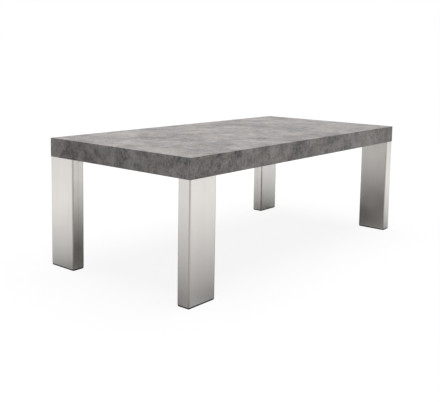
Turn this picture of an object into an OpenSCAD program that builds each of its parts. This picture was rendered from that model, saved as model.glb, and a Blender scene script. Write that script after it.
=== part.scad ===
// Extending dining table. Two half tops, each a mitred hollow slab on two flat tube legs,
// draw apart on wooden slide bars. The bars carry a folded leaf inside the slab, and a rack
// on each half meshes with one pinion, so that the leaf stays midway between the halves.
// The origin is on the floor under the middle of the closed table. +X runs along its
// length, the front is -Y, and +Z is up. "Left" is the -X half and "right" the +X half.

/* [Table] */
// Length of the closed table
table_l = 2200; // [1800:10:2800]
// Width of the table
table_w = 1100; // [900:10:1300]
// Height from the floor to the top face
table_h = 760; // [600:5:1100]
// Depth of the slab's edge, from the top face to its underside
slab_t = 110; // [109:1:150]
// Thickness of the top panels and of the leaf
panel_t = 25; // [20:0.5:25]
// Thickness of the aprons round the slab
apron_t = 25; // [18:1:32]
// Gap between the half tops when the table is closed
seam_gap = 0.5; // [0.4:0.1:1.5]

/* [Legs] */
// Width of a leg's wide faces
leg_a = 200; // [140:5:260]
// Width of a leg's narrow faces
leg_b = 80; // [76:1:120]
// Wall of the leg tube
leg_wall = 3; // [2:0.5:4]
// Outside radius of the leg's upright edges
leg_r = 7; // [5:0.5:12]
// Width of the closed seam on a leg's inner narrow face
leg_seam_w = 1; // [0.6:0.1:2]
// Depth of that seam
leg_seam_d = 0.6; // [0.3:0.1:1]
// Thickness of the plate welded into the top of a leg
leg_plate_t = 8; // [6:1:12]
// Height of the foot strip under a leg
foot_t = 8; // [3:0.5:12]
// How far the foot strip stands back from the leg's faces
foot_inset = 1; // [0.5:0.5:3]
// Height of the foot's plug inside the tube
plug_h = 20; // [10:1:40]

/* [Extension] */
// How far the halves draw apart, which is the length that the leaf fills
travel = 800; // [600:10:900]
// Length of slide bar that stays in each track when the table is fully open
slide_overlap = 300; // [240:10:340]
// Width of a slide bar
bar_w = 20; // [16:1:26]
// Height of a slide track
track_h = 50; // [44:1:54]
// Depth of a slide track, from its lips to its back
track_d = 25; // [22:1:30]
// Wall of a slide track
track_wall = 3; // [2.5:0.5:3]
// Width of the bearer that a track is screwed to
bearer_w = 30; // [24:1:36]
// Distance from the folded leaf's edge to the slide bars
bar_offset = 45; // [40:1:50]
// Height of the carriage's crossbars
crossbar_h = 15; // [12:1:15]
// Width of the crossbars
crossbar_w = 30; // [24:1:40]
// Diameter of the dowel pins along the seam
dowel_d = 8; // [6:1:10]

/* [Rack and lock] */
// Tooth module of the racks and the pinion
gear_m = 3; // [2.5:0.5:3]
// Teeth on the pinion
pinion_teeth = 16; // [14:2:18]
// Height of the racks and the pinion
rack_h = 7; // [5:1:7]
// Distance from a lock's pivot to its stud
lock_reach = 50; // [44:1:54]
// Diameter of a lock's stud
stud_d = 7; // [6:0.5:9]

/* [Clearances] */
// Gap above and below a slide bar in its track
slide_clear = 0.4; // [0.3:0.1:0.6]
// Gap all round a dowel pin in its bush
dowel_clear = 0.3; // [0.2:0.1:0.5]
// Radial gap of a turning part on its pin
turn_clear = 0.05; // [0.02:0.01:0.1]
// Gap on each side of a gear tooth
tooth_clear = 0.2; // [0.15:0.05:0.3]
// How much shorter the leaf is than the opening it fills
leaf_clear = 1; // [0.6:0.1:2]

/* [Hidden] */
$fn = 48;
half_l = table_l / 2;
half_w = table_w / 2;
slab_z = table_h - slab_t;
under_z = table_h - panel_t;
// Leg brackets and their bolts
bracket_t = 4;
bracket_base = 6;
bracket_reach = 40;
bracket_h = 60;
bracket_rows = [20, 44];
bracket_spots = [0.35, 0.75];
bolt_r = 5;
bolt_edge = 13;
bolt_wall_gap = 11;
bolt_head_d = 18.4;
bolt_head_h = 6.5;
bolt_tail = 8;
// Feet
plug_gap = 0.3;
plug_wall = 4;
// Lengths of the wood screws
track_screw = 20;
bracket_screw = 18;
hanger_screw = 14;
lock_screw = 12;
// Slides, measured from the table's centre line outwards
felt_t = 1.5;
bumper_h = track_wall + slide_clear;
leaf_depth = (table_w - leaf_clear) / 2;
leaf_half = (travel - leaf_clear) / 2;
bar_y = leaf_depth / 2 + bar_offset;
bar_h = track_h - 2 * track_wall - 2 * slide_clear;
bar_z = under_z - track_h + track_wall + slide_clear;
bar_half = travel / 2 + slide_overlap;
lip_gap = 3;
track_y = bar_y + lip_gap;
track_back = track_y + track_d - track_wall;
bearer_y = track_y + track_d;
track_in = 10;
track_spare = 30;
track_out = bar_half + track_spare;
track_mid_z = under_z - track_h / 2;
bracket_gap = 6;
bearer_out = half_l - apron_t - bracket_t - bracket_gap;
stop_x = 20;
stop_r = 3;
groove_d = 6;
// Heights of what hangs on the carriage, from the top down
leaf_gap = 0.6;
leaf_upper_z = under_z - bumper_h - leaf_gap - panel_t;
leaf_lower_z = leaf_upper_z - felt_t - panel_t;
crossbar_z = leaf_lower_z - felt_t - crossbar_h;
rack_gap = 2;
rack_z = crossbar_z - rack_gap - rack_h;
guide_gap = 1;
guide_t = 2;
guide_z = rack_z - guide_gap - guide_t;
crossbar_in = 50;
crossbar_wall = 2;
crossbar_x = travel / 2 - crossbar_in;
hanger_t = 3;
// Gears
pitch_r = gear_m * pinion_teeth / 2;
tooth_pitch = PI * gear_m;
addendum = 0.9 * gear_m;
dedendum = 1.25 * gear_m;
pressure = 20;
base_r = pitch_r * cos(pressure);
rack_web = 10;
rack_back = pitch_r + dedendum + rack_web;
axle_r = 5;
// Battens and the racks' outer ends
batten_x = travel / 2 + 40;
batten_w = 50;
batten_h = 35;
batten_y = bar_y - 5;
outer_batten_x = half_l - leg_a - 100;
rack_out = travel / 2 + 85;
// Dowel pins, as distances from the table's centre line
dowel_ys = [150, half_w - 100];
dowel_in = 22;
dowel_out = 18;
bush_wall = 2;
// Lock
lock_y = half_w - apron_t - 35;
lock_back = 28;
lock_plate_t = 2;
lock_plate_w = 36;
lever_t = 5;
lever_drop = 19;
lever_z = under_z - lever_drop;
lever_w = 20;
pivot_r = 4;

// Sides: s is -1 on the left half and 1 on the right, t is -1 at the front and 1 at the rear.
// A leg stands wide along the length where s and t agree, and across it where they don't.
function leg_u(s, t) = s * t > 0 ? leg_a : leg_b;
function leg_v(s, t) = s * t > 0 ? leg_b : leg_a;

// Puts a shape drawn from a slab corner inwards, +X and +Y, at the corner on sides s and t
module at_corner(s, t) {
    translate([s * half_l, t * half_w, 0])
        mirror([s > 0 ? 1 : 0, 0, 0]) mirror([0, t > 0 ? 1 : 0, 0]) children();
}

// Puts a shape drawn for the left half, and turned half round for the right half
module on_half(s) {
    rotate([0, 0, s > 0 ? 180 : 0]) children();
}

// A box with rounded upright edges
module rounded_box(size, r) {
    translate([r, 0, 0]) cube([size.x - 2 * r, size.y, size.z]);
    translate([0, r, 0]) cube([size.x, size.y - 2 * r, size.z]);
    for (x = [r, size.x - r], y = [r, size.y - r]) translate([x, y, 0]) cylinder(r = r, h = size.z);
}

// A wood screw that points down from its seat at the origin, with its head above
module screw(length, shank_r = 2, head_r = 4, head_h = 2) {
    cylinder(r = head_r, h = head_h);
    translate([0, 0, -length]) cylinder(r = shank_r, h = length);
}

// Places that screws go, with +Z out of the face that each head seats on
module at_track_screws(s) {
    span = track_out - track_in - 100;
    for (t = [-1, 1], k = [0:3])
        translate([s * (track_in + 60 + k * span / 3), t * track_back, track_mid_z])
            rotate([t > 0 ? 90 : -90, 0, 0]) children();
}

module at_bracket_screws(s) {
    for (t = [-1, 1]) at_corner(s, t) {
        for (f = bracket_spots, z = bracket_rows)
            translate([apron_t + f * (leg_u(s, t) - apron_t + bracket_reach), apron_t + bracket_t, slab_z + z])
                rotate([-90, 0, 0]) children();
        for (f = bracket_spots, z = bracket_rows)
            translate([apron_t + bracket_t, apron_t + f * (leg_v(s, t) - apron_t + bracket_reach), slab_z + z])
                rotate([0, 90, 0]) children();
    }
}

module at_stop_screws(s) {
    for (t = [-1, 1]) translate([s * stop_x, t * track_back, track_mid_z])
        rotate([t > 0 ? 90 : -90, 0, 0]) children();
}

module at_lock_screws(s) {
    x = s < 0 ? 58 : 38;
    for (t = [-1, 1], y = [-11, 11])
        translate([s * x, t * lock_y + y, under_z - lock_plate_t]) rotate([180, 0, 0]) children();
}

module at_leg_bolts(s) {
    first = apron_t + bracket_t + bolt_edge;
    for (t = [-1, 1]) at_corner(s, t)
        for (u = [first, leg_u(s, t) - leg_wall - bolt_wall_gap],
            v = [first, leg_v(s, t) - leg_wall - bolt_wall_gap])
            translate([u, v, slab_z + bracket_base]) children();
}

// ---- Half tops ----

// Section of an apron, which reaches the top face and meets the panel in a sloping mitre
module apron_section() {
    polygon([[0, -slab_t], [apron_t, -slab_t], [apron_t, -panel_t], [0, 0]]);
}

// An apron from one mitred end at the origin, along +X, with its outer face on the X axis
module apron(length, far_mitre) {
    intersection() {
        translate([0, 0, table_h]) rotate([90, 0, 90]) linear_extrude(length) apron_section();
        linear_extrude(table_h)
            polygon([[0, 0], [length, 0], [far_mitre ? length - apron_t : length, apron_t],
                [apron_t, apron_t]]);
    }
}

module side_apron(s, t) {
    difference() {
        at_corner(s, t) apron(half_l - seam_gap / 2, false);
        at_bracket_screws(s) screw(bracket_screw);
    }
}

module end_apron(s) {
    difference() {
        at_corner(s, -1) mirror([1, -1, 0]) apron(table_w, true);
        at_bracket_screws(s) screw(bracket_screw);
    }
}

module dowel_holes(s, r, depth) {
    for (y = dowel_ys, t = [-1, 1])
        translate([s * seam_gap / 2, t * y, under_z + panel_t / 2]) rotate([0, s * 90, 0])
            translate([0, 0, -0.01]) cylinder(r = r, h = depth + 0.01);
}

module top_panel(s) {
    length = half_l - seam_gap / 2;
    difference() {
        translate([s > 0 ? seam_gap / 2 : -half_l, -half_w, under_z]) cube([length, table_w, panel_t]);
        for (t = [-1, 1]) at_corner(s, t) translate([0, 0, table_h]) rotate([90, 0, 90])
            translate([0, 0, -1]) linear_extrude(length + 2)
                polygon([[0, 0], [apron_t, -panel_t], [apron_t, -panel_t - 1], [-1, -panel_t - 1], [-1, 0]]);
        at_corner(s, -1) translate([0, 0, table_h]) mirror([1, -1, 0]) rotate([90, 0, 90])
            translate([0, 0, -1]) linear_extrude(table_w + 2)
                polygon([[0, 0], [apron_t, -panel_t], [apron_t, -panel_t - 1], [-1, -panel_t - 1], [-1, 0]]);
        dowel_holes(s, dowel_r(s), dowel_in);
        at_lock_screws(s) screw(lock_screw);
    }
}

// A pin fits its hole on the left half, and a bush does on the right half
function dowel_r(s) = dowel_d / 2 + (s < 0 ? 0 : dowel_clear + bush_wall);

module battens(s) {
    for (x = [batten_x, outer_batten_x])
        translate([s > 0 ? x : -x - batten_w, -batten_y, under_z - batten_h])
            cube([batten_w, 2 * batten_y, batten_h]);
}

module bearers(s) {
    difference() {
        for (t = [-1, 1])
            translate([s > 0 ? track_in : -bearer_out, t > 0 ? bearer_y : -bearer_y - bearer_w,
                under_z - track_h]) cube([bearer_out - track_in, bearer_w, track_h]);
        at_track_screws(s) screw(track_screw);
        at_stop_screws(s) stop_screw();
    }
}

module track_section() {
    difference() {
        square([track_d, track_h]);
        translate([-1, track_wall]) square([track_d - track_wall + 1, track_h - 2 * track_wall]);
    }
}

module tracks(s) {
    difference() {
        for (t = [-1, 1]) mirror([0, t > 0 ? 0 : 1, 0])
            translate([s > 0 ? track_in : -track_out, track_y, under_z - track_h])
                rotate([90, 0, 90]) linear_extrude(track_out - track_in) track_section();
        at_track_screws(s) screw(track_screw);
        at_stop_screws(s) stop_screw();
    }
}

// Runs in a bar's groove and ends it at both ends of the travel
module stop_screw() {
    translate([0, 0, -15]) cylinder(r = stop_r, h = 15 + track_back - bar_y - bar_w + groove_d - 2);
}

module screws(s) {
    at_track_screws(s) screw(track_screw);
    at_bracket_screws(s) screw(bracket_screw);
    at_stop_screws(s) stop_screw();
    at_lock_screws(s) screw(lock_screw);
}

// ---- Legs ----

module leg(s, t) {
    u = leg_u(s, t);
    v = leg_v(s, t);
    at_corner(s, t) difference() {
        translate([0, 0, foot_t]) rounded_box([u, v, slab_z - foot_t], leg_r);
        translate([leg_wall, leg_wall, foot_t - 1])
            rounded_box([u - 2 * leg_wall, v - 2 * leg_wall, slab_z], leg_r - leg_wall);
        if (u > v) translate([u - leg_seam_d, (v - leg_seam_w) / 2, 0]) cube([leg_wall, leg_seam_w, table_h]);
        else translate([(u - leg_seam_w) / 2, v - leg_seam_d, 0]) cube([leg_seam_w, leg_wall, table_h]);
    }
}

module leg_plates(s) {
    difference() {
        for (t = [-1, 1]) at_corner(s, t) translate([leg_wall, leg_wall, slab_z - leg_plate_t])
            rounded_box([leg_u(s, t) - 2 * leg_wall, leg_v(s, t) - 2 * leg_wall, leg_plate_t],
                leg_r - leg_wall);
        at_leg_bolts(s) translate([0, 0, -50]) cylinder(r = bolt_r, h = 60);
    }
}

module foot(s, t) {
    u = leg_u(s, t);
    v = leg_v(s, t);
    gap = leg_wall + plug_gap;
    hollow = gap + plug_wall;
    at_corner(s, t) difference() {
        union() {
            translate([foot_inset, foot_inset, 0])
                rounded_box([u - 2 * foot_inset, v - 2 * foot_inset, foot_t], leg_r);
            translate([gap, gap, 0])
                rounded_box([u - 2 * gap, v - 2 * gap, foot_t + plug_h], leg_r - leg_wall);
        }
        translate([hollow, hollow, foot_t]) cube([u - 2 * hollow, v - 2 * hollow, plug_h + 1]);
    }
}

module leg_brackets(s) {
    difference() {
        for (t = [-1, 1]) at_corner(s, t) translate([apron_t, apron_t, slab_z]) {
            u = leg_u(s, t) - apron_t + bracket_reach;
            v = leg_v(s, t) - apron_t + bracket_reach;
            cube([u, v, bracket_base]);
            cube([u, bracket_t, bracket_h]);
            cube([bracket_t, v, bracket_h]);
        }
        at_leg_bolts(s) translate([0, 0, -20]) cylinder(r = bolt_r + 0.5, h = 40);
        at_bracket_screws(s) screw(bracket_screw);
    }
}

module leg_bolts(s) {
    at_leg_bolts(s) {
        cylinder(d = bolt_head_d, h = bolt_head_h, $fn = 6);
        translate([0, 0, -bracket_base - leg_plate_t - bolt_tail])
            cylinder(r = bolt_r, h = bracket_base + leg_plate_t + bolt_tail);
    }
}

// ---- Synchronising gear ----

// Involute function, in degrees, of a point at radius r
function involute(r) = tan(acos(base_r / r)) * 180 / PI - acos(base_r / r);

// Half the angle that a pinion tooth fills at radius r
function tooth_half(r) = 90 / pinion_teeth - tooth_clear / pitch_r * 180 / PI
    + involute(pitch_r) - involute(max(r, base_r));

function polar(r, a) = [r * cos(a), r * sin(a)];

module pinion() {
    root_r = pitch_r - dedendum;
    steps = 5;
    radii = [root_r, for (k = [0:steps]) base_r + 0.01 + k * (pitch_r + addendum - base_r) / (steps + 0.001)];
    outline = [for (k = [0:pinion_teeth - 1]) each [
        for (r = radii) polar(r, k * 360 / pinion_teeth - tooth_half(r)),
        for (n = [len(radii) - 1:-1:0]) polar(radii[n], k * 360 / pinion_teeth + tooth_half(radii[n]))]];
    translate([0, 0, rack_z]) difference() {
        linear_extrude(rack_h) polygon(outline);
        translate([0, 0, -1]) cylinder(r = axle_r + turn_clear, h = rack_h + 2);
    }
}

// The left rack: a space between its teeth faces the pinion when the table is closed
module rack_bar() {
    half_tip = tooth_pitch / 4 - tooth_clear - addendum * tan(pressure);
    half_root = tooth_pitch / 4 - tooth_clear + dedendum * tan(pressure);
    last = ceil((travel / 2 + 25) / tooth_pitch);
    root_y = -pitch_r - dedendum;
    tip_y = -pitch_r + addendum;
    end_x = (last + 1) * tooth_pitch;
    teeth = [for (k = [-3:last]) let (x = (k + 0.5) * tooth_pitch) each
        [[x - half_root, root_y], [x - half_tip, tip_y], [x + half_tip, tip_y], [x + half_root, root_y]]];
    translate([0, 0, rack_z]) linear_extrude(rack_h)
        polygon(concat([[-rack_out, -rack_back], [-rack_out, root_y]], teeth,
            [[end_x, root_y], [end_x, -rack_back]]));
}

module rack_bracket() {
    top_z = under_z - batten_h;
    low_z = rack_z + rack_h;
    length = 36;
    sheet = 3;
    web = 5;
    flange = 40;
    translate([-rack_out, 0, 0]) {
        translate([0, -rack_back - 16, top_z - sheet]) cube([length, flange, sheet]);
        translate([0, -rack_back + 2, low_z]) cube([length, web, top_z - low_z]);
        translate([0, -rack_back, low_z]) cube([length, rack_web, sheet]);
    }
}

module guide() {
    wall_y = rack_back + guide_gap;
    half = 40;
    flange = 16;
    difference() {
        union() {
            translate([-half, -wall_y - guide_t, guide_z]) cube([2 * half, 2 * (wall_y + guide_t), guide_t]);
            for (t = [-1, 1]) {
                translate([-half, t > 0 ? wall_y : -wall_y - guide_t, guide_z])
                    cube([2 * half, guide_t, crossbar_z - guide_z]);
                translate([-half, t > 0 ? wall_y : -wall_y - flange, crossbar_z - guide_t])
                    cube([2 * half, flange, guide_t]);
            }
        }
        translate([0, 0, guide_z - 1]) cylinder(r = axle_r, h = 10);
    }
}

module axle() {
    collar_z = rack_z + rack_h + turn_clear * 6;
    translate([0, 0, guide_z]) cylinder(r = axle_r, h = crossbar_z + crossbar_h - crossbar_wall - guide_z);
    translate([0, 0, collar_z]) cylinder(r = axle_r + 3, h = crossbar_z - collar_z);
}

// ---- Carriage ----

module slide_bar(t) {
    groove_in = stop_x - stop_r - 1;
    groove_l = travel / 2 + 2 * stop_r + 2;
    mirror([0, t > 0 ? 0 : 1, 0]) difference() {
        translate([-bar_half, bar_y, bar_z]) cube([2 * bar_half, bar_w, bar_h]);
        for (s = [-1, 1])
            translate([s > 0 ? groove_in : -groove_in - groove_l, bar_y + bar_w - groove_d, track_mid_z - 5])
                cube([groove_l, groove_d + 1, 10]);
        at_hanger_screws() screw(hanger_screw);
    }
}

module at_hangers() {
    for (x = [-crossbar_x, 0, crossbar_x]) translate([x, 0, 0]) children();
}

// On the rear bar, heads towards the middle of the table
module at_hanger_screws() {
    at_hangers() for (x = [-12, 12]) translate([x, bar_y - hanger_t, track_mid_z]) rotate([90, 0, 0])
        children();
}

module hangers() {
    half = 20;
    shelf = 40;
    shelf_t = 1.5;
    for (t = [0, 1]) mirror([0, t, 0]) difference() {
        at_hangers() {
            translate([-half, bar_y - hanger_t, crossbar_z - shelf_t])
                cube([2 * half, hanger_t, track_mid_z + 15 - crossbar_z]);
            translate([-half, bar_y - shelf, crossbar_z - shelf_t]) cube([2 * half, shelf, shelf_t]);
        }
        at_hanger_screws() screw(hanger_screw);
    }
}

module crossbar_tubes() {
    wall = crossbar_wall;
    length = 2 * (bar_y - hanger_t);
    difference() {
        at_hangers() translate([-crossbar_w / 2, -length / 2, crossbar_z]) difference() {
            cube([crossbar_w, length, crossbar_h]);
            translate([wall, -1, wall]) cube([crossbar_w - 2 * wall, length + 2, crossbar_h - 2 * wall]);
        }
        translate([0, 0, crossbar_z - 1]) cylinder(r = axle_r, h = crossbar_h - 1);
    }
}

// The folded leaf: its lower panel has its top face up and its upper panel has its top face
// down, and both turn about the hinges on the rear edge
module at_leaf_hinges() {
    for (x = [-leaf_half + 150, 0, leaf_half - 150]) translate([x, leaf_depth / 2, 0]) children();
}

module leaf_dowels(s, r, low, high) {
    for (y = dowel_ys, z = [leaf_lower_z, leaf_upper_z])
        translate([s * leaf_half, leaf_depth / 2 - y, z + panel_t / 2]) rotate([0, s * 90, 0])
            translate([0, 0, low]) cylinder(r = r, h = high - low);
}

module leaf_panel(z) {
    difference() {
        translate([-leaf_half, -leaf_depth / 2, z]) cube([2 * leaf_half, leaf_depth, panel_t]);
        leaf_dowels(1, dowel_d / 2, -dowel_in, 1);
        leaf_dowels(-1, dowel_d / 2 + dowel_clear + bush_wall, -dowel_in, 1);
        at_leaf_hinges() hinge();
    }
}

module hinge() {
    barrel = 18;
    link_t = 3;
    link_w = 5;
    for (z = [leaf_lower_z, leaf_upper_z])
        translate([0, -barrel, z + panel_t / 2]) rotate([-90, 0, 0]) cylinder(r = 6, h = barrel);
    translate([-link_t / 2, 0, leaf_lower_z + panel_t / 2 - link_w])
        cube([link_t, link_w, leaf_upper_z - leaf_lower_z + 2 * link_w]);
}

module felt_strips() {
    edge = 20;
    for (x = [-crossbar_x, 0, crossbar_x], z = [leaf_lower_z - felt_t, leaf_upper_z - felt_t])
        translate([x - crossbar_w / 2 + 3, -leaf_depth / 2 + edge, z])
            cube([crossbar_w - 6, leaf_depth - 2 * edge, felt_t]);
}

module bumpers() {
    y = leaf_depth / 2 - (bar_y + bar_w / 2);
    for (x = [-crossbar_x / 2, crossbar_x / 2], z = [leaf_lower_z - bumper_h, leaf_upper_z + panel_t])
        translate([x, y, z]) cylinder(r = 8, h = bumper_h);
}

module bush(depth) {
    difference() {
        cylinder(r = dowel_d / 2 + dowel_clear + bush_wall, h = depth);
        translate([0, 0, -1]) cylinder(r = dowel_d / 2 + dowel_clear, h = depth + 2);
    }
}

module dowel_pins(s) {
    for (y = dowel_ys, t = [-1, 1])
        translate([s * seam_gap / 2, t * y, under_z + panel_t / 2]) rotate([0, 90, 0])
            translate([0, 0, -dowel_in]) cylinder(r = dowel_d / 2, h = dowel_in + dowel_out);
}

module pin_bushes(s) {
    for (y = dowel_ys, t = [-1, 1])
        translate([s * seam_gap / 2, t * y, under_z + panel_t / 2]) rotate([0, 90, 0]) bush(dowel_in);
}

module leaf_bushes() {
    for (y = dowel_ys, z = [leaf_lower_z, leaf_upper_z])
        translate([-leaf_half, leaf_depth / 2 - y, z + panel_t / 2]) rotate([0, 90, 0]) bush(dowel_in);
}

// ---- Locks ----

// Drawn for the front lock, with +Y towards the middle of the table
module at_lock(t) {
    mirror([0, t > 0 ? 1 : 0, 0]) translate([0, -lock_y, 0]) children();
}

module lock_plate(t) {
    post_z = lever_z + lever_t + 0.4;
    head_z = lever_z - 3.4;
    difference() {
        at_lock(t) {
            translate([-68, -lock_plate_w / 2, under_z - lock_plate_t]) cube([64, lock_plate_w, lock_plate_t]);
            translate([-lock_back, 0, post_z]) cylinder(r = 8, h = under_z - post_z - lock_plate_t);
            translate([-lock_back, 0, lever_z - 3]) cylinder(r = pivot_r, h = under_z - lever_z);
            translate([-lock_back, 0, head_z]) cylinder(r = 9, h = 3);
        }
        at_lock_screws(-1) screw(lock_screw);
    }
}

module lock_keeper(t) {
    x = lock_reach - lock_back;
    stud_z = lever_z - 4;
    difference() {
        at_lock(t) {
            translate([8, -lock_plate_w / 2, under_z - lock_plate_t]) cube([40, lock_plate_w, lock_plate_t]);
            translate([x, 0, stud_z]) cylinder(r = stud_d / 2, h = under_z - lock_plate_t + 1 - stud_z);
            translate([x, 0, lever_z - 6]) cylinder(r = 6, h = 2.5);
        }
        at_lock_screws(1) screw(lock_screw);
    }
}

// Released: the hook points to the middle of the table and its mouth faces the seam
module lock_lever(t) {
    slot_r = stud_d / 2 + 1.5;
    tip = lock_reach + slot_r;
    handle = 58;
    handle_w = 14;
    grip = 14;
    grip_t = 3;
    at_lock(t) translate([-lock_back, 0, lever_z]) difference() {
        union() {
            cylinder(r = 13, h = lever_t);
            translate([-lever_w / 2, 0, 0]) cube([lever_w, tip, lever_t]);
            translate([0, tip, 0]) cylinder(r = lever_w / 2, h = lever_t);
            translate([-handle, -handle_w / 2, 0]) cube([handle, handle_w, lever_t]);
            translate([-handle, -handle_w / 2, -grip]) cube([grip_t, handle_w, grip + lever_t]);
        }
        translate([0, 0, -1]) cylinder(r = pivot_r + turn_clear, h = lever_t + 2);
        translate([0, lock_reach, -1]) cylinder(r = slot_r, h = lever_t + 2);
        translate([0, lock_reach - slot_r, -1]) cube([lever_w, 2 * slot_r, lever_t + 2]);
    }
}

// ---- Colours and one module per piece ----

module laminate() { color("darkgray") children(); }
module steel() { color("silver") children(); }
module beech() { color("burlywood") children(); }
module plastic() { color("dimgray") children(); }

module left_top_panel() { laminate() top_panel(-1); }
module left_front_apron() { laminate() side_apron(-1, -1); }
module left_rear_apron() { laminate() side_apron(-1, 1); }
module left_end_apron() { laminate() end_apron(-1); }
module left_battens() { beech() battens(-1); }
module left_bearers() { beech() bearers(-1); }
module left_tracks() { steel() tracks(-1); }
module left_front_leg() { steel() leg(-1, -1); }
module left_rear_leg() { steel() leg(-1, 1); }
module left_leg_plates() { steel() leg_plates(-1); }
module left_front_foot() { plastic() foot(-1, -1); }
module left_rear_foot() { plastic() foot(-1, 1); }
module left_leg_brackets() { plastic() leg_brackets(-1); }
module left_leg_bolts() { steel() leg_bolts(-1); }
module left_screws() { steel() screws(-1); }
module left_dowel_pins() { steel() dowel_pins(-1); }
module left_sync_rack() { plastic() on_half(-1) rack_bar(); }
module left_rack_bracket() { steel() on_half(-1) rack_bracket(); }
module front_lock_plate() { steel() lock_plate(-1); }
module rear_lock_plate() { steel() lock_plate(1); }
module right_top_panel() { laminate() top_panel(1); }
module right_front_apron() { laminate() side_apron(1, -1); }
module right_rear_apron() { laminate() side_apron(1, 1); }
module right_end_apron() { laminate() end_apron(1); }
module right_battens() { beech() battens(1); }
module right_bearers() { beech() bearers(1); }
module right_tracks() { steel() tracks(1); }
module right_front_leg() { steel() leg(1, -1); }
module right_rear_leg() { steel() leg(1, 1); }
module right_leg_plates() { steel() leg_plates(1); }
module right_front_foot() { plastic() foot(1, -1); }
module right_rear_foot() { plastic() foot(1, 1); }
module right_leg_brackets() { plastic() leg_brackets(1); }
module right_leg_bolts() { steel() leg_bolts(1); }
module right_screws() { steel() screws(1); }
module right_pin_bushes() { plastic() pin_bushes(1); }
module right_sync_rack() { plastic() on_half(1) rack_bar(); }
module right_rack_bracket() { steel() on_half(1) rack_bracket(); }
module front_lock_keeper() { steel() lock_keeper(-1); }
module rear_lock_keeper() { steel() lock_keeper(1); }
module front_slide_bar() { beech() slide_bar(-1); }
module rear_slide_bar() { beech() slide_bar(1); }
module carriage_hangers() { steel() hangers(); }
module hanger_screws() { steel() for (t = [0, 1]) mirror([0, t, 0]) at_hanger_screws() screw(hanger_screw); }
module crossbars() { steel() crossbar_tubes(); }
module leaf_lower_panel() { laminate() leaf_panel(leaf_lower_z); }
module leaf_upper_panel() { laminate() leaf_panel(leaf_upper_z); }
module leaf_hinges() { steel() at_leaf_hinges() hinge(); }
module leaf_bumpers() { plastic() bumpers(); }
module leaf_felts() { plastic() felt_strips(); }
module leaf_dowel_pins() { steel() leaf_dowels(1, dowel_d / 2, -dowel_in, dowel_out); }
module leaf_pin_bushes() { plastic() leaf_bushes(); }
module rack_guide() { plastic() guide(); }
module pinion_axle() { steel() axle(); }
module sync_pinion() { plastic() pinion(); }
module front_lock_lever() { steel() lock_lever(-1); }
module rear_lock_lever() { steel() lock_lever(1); }

left_top_panel();
left_front_apron();
left_rear_apron();
left_end_apron();
left_battens();
left_bearers();
left_tracks();
left_front_leg();
left_rear_leg();
left_leg_plates();
left_front_foot();
left_rear_foot();
left_leg_brackets();
left_leg_bolts();
left_screws();
left_dowel_pins();
left_sync_rack();
left_rack_bracket();
front_lock_plate();
rear_lock_plate();
right_top_panel();
right_front_apron();
right_rear_apron();
right_end_apron();
right_battens();
right_bearers();
right_tracks();
right_front_leg();
right_rear_leg();
right_leg_plates();
right_front_foot();
right_rear_foot();
right_leg_brackets();
right_leg_bolts();
right_screws();
right_pin_bushes();
right_sync_rack();
right_rack_bracket();
front_lock_keeper();
rear_lock_keeper();
front_slide_bar();
rear_slide_bar();
carriage_hangers();
hanger_screws();
crossbars();
leaf_lower_panel();
leaf_upper_panel();
leaf_hinges();
leaf_bumpers();
leaf_felts();
leaf_dowel_pins();
leaf_pin_bushes();
rack_guide();
pinion_axle();
sync_pinion();
front_lock_lever();
rear_lock_lever();
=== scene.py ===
"""Extending dining table: a concrete-look slab that parts at mid-length, on four brushed
steel tube legs, with a folded leaf carried on wooden slides inside it.

Lengths are in metres. +X runs along the table, the front long side faces -Y, +Z is up.
"""

import logging
import math
from dataclasses import dataclass
from enum import Enum
from typing import Iterable, Sequence, Union

import bmesh
import bpy
from mathutils import Matrix, Vector


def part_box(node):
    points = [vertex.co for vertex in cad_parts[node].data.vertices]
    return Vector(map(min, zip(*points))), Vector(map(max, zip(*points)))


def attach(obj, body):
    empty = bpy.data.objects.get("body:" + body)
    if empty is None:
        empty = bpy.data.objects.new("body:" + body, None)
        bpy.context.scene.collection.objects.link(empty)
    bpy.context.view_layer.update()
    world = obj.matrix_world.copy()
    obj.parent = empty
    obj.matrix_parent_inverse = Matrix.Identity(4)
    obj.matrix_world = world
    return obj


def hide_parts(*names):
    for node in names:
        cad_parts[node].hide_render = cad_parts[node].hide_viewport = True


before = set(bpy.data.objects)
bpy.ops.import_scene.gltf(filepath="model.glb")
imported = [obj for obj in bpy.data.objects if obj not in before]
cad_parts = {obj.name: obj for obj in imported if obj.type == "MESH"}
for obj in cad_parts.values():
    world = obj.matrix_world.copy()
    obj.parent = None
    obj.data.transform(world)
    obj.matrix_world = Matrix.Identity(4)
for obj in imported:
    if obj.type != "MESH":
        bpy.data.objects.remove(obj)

logging.basicConfig(level=logging.INFO, format="%(name)s: %(message)s")
LOG = logging.getLogger("table")

MM = 0.001
MERGE = 0.002 * MM  # corners nearer than this are one corner
FLAT = 0.3  # degrees between faces that count as one flat face
BEND = "bend"  # a face attribute, 1 on the bends of a leg's sheet, where the steel gets painted shade
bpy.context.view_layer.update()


# ---------------------------------------------------------------- shader building


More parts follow.
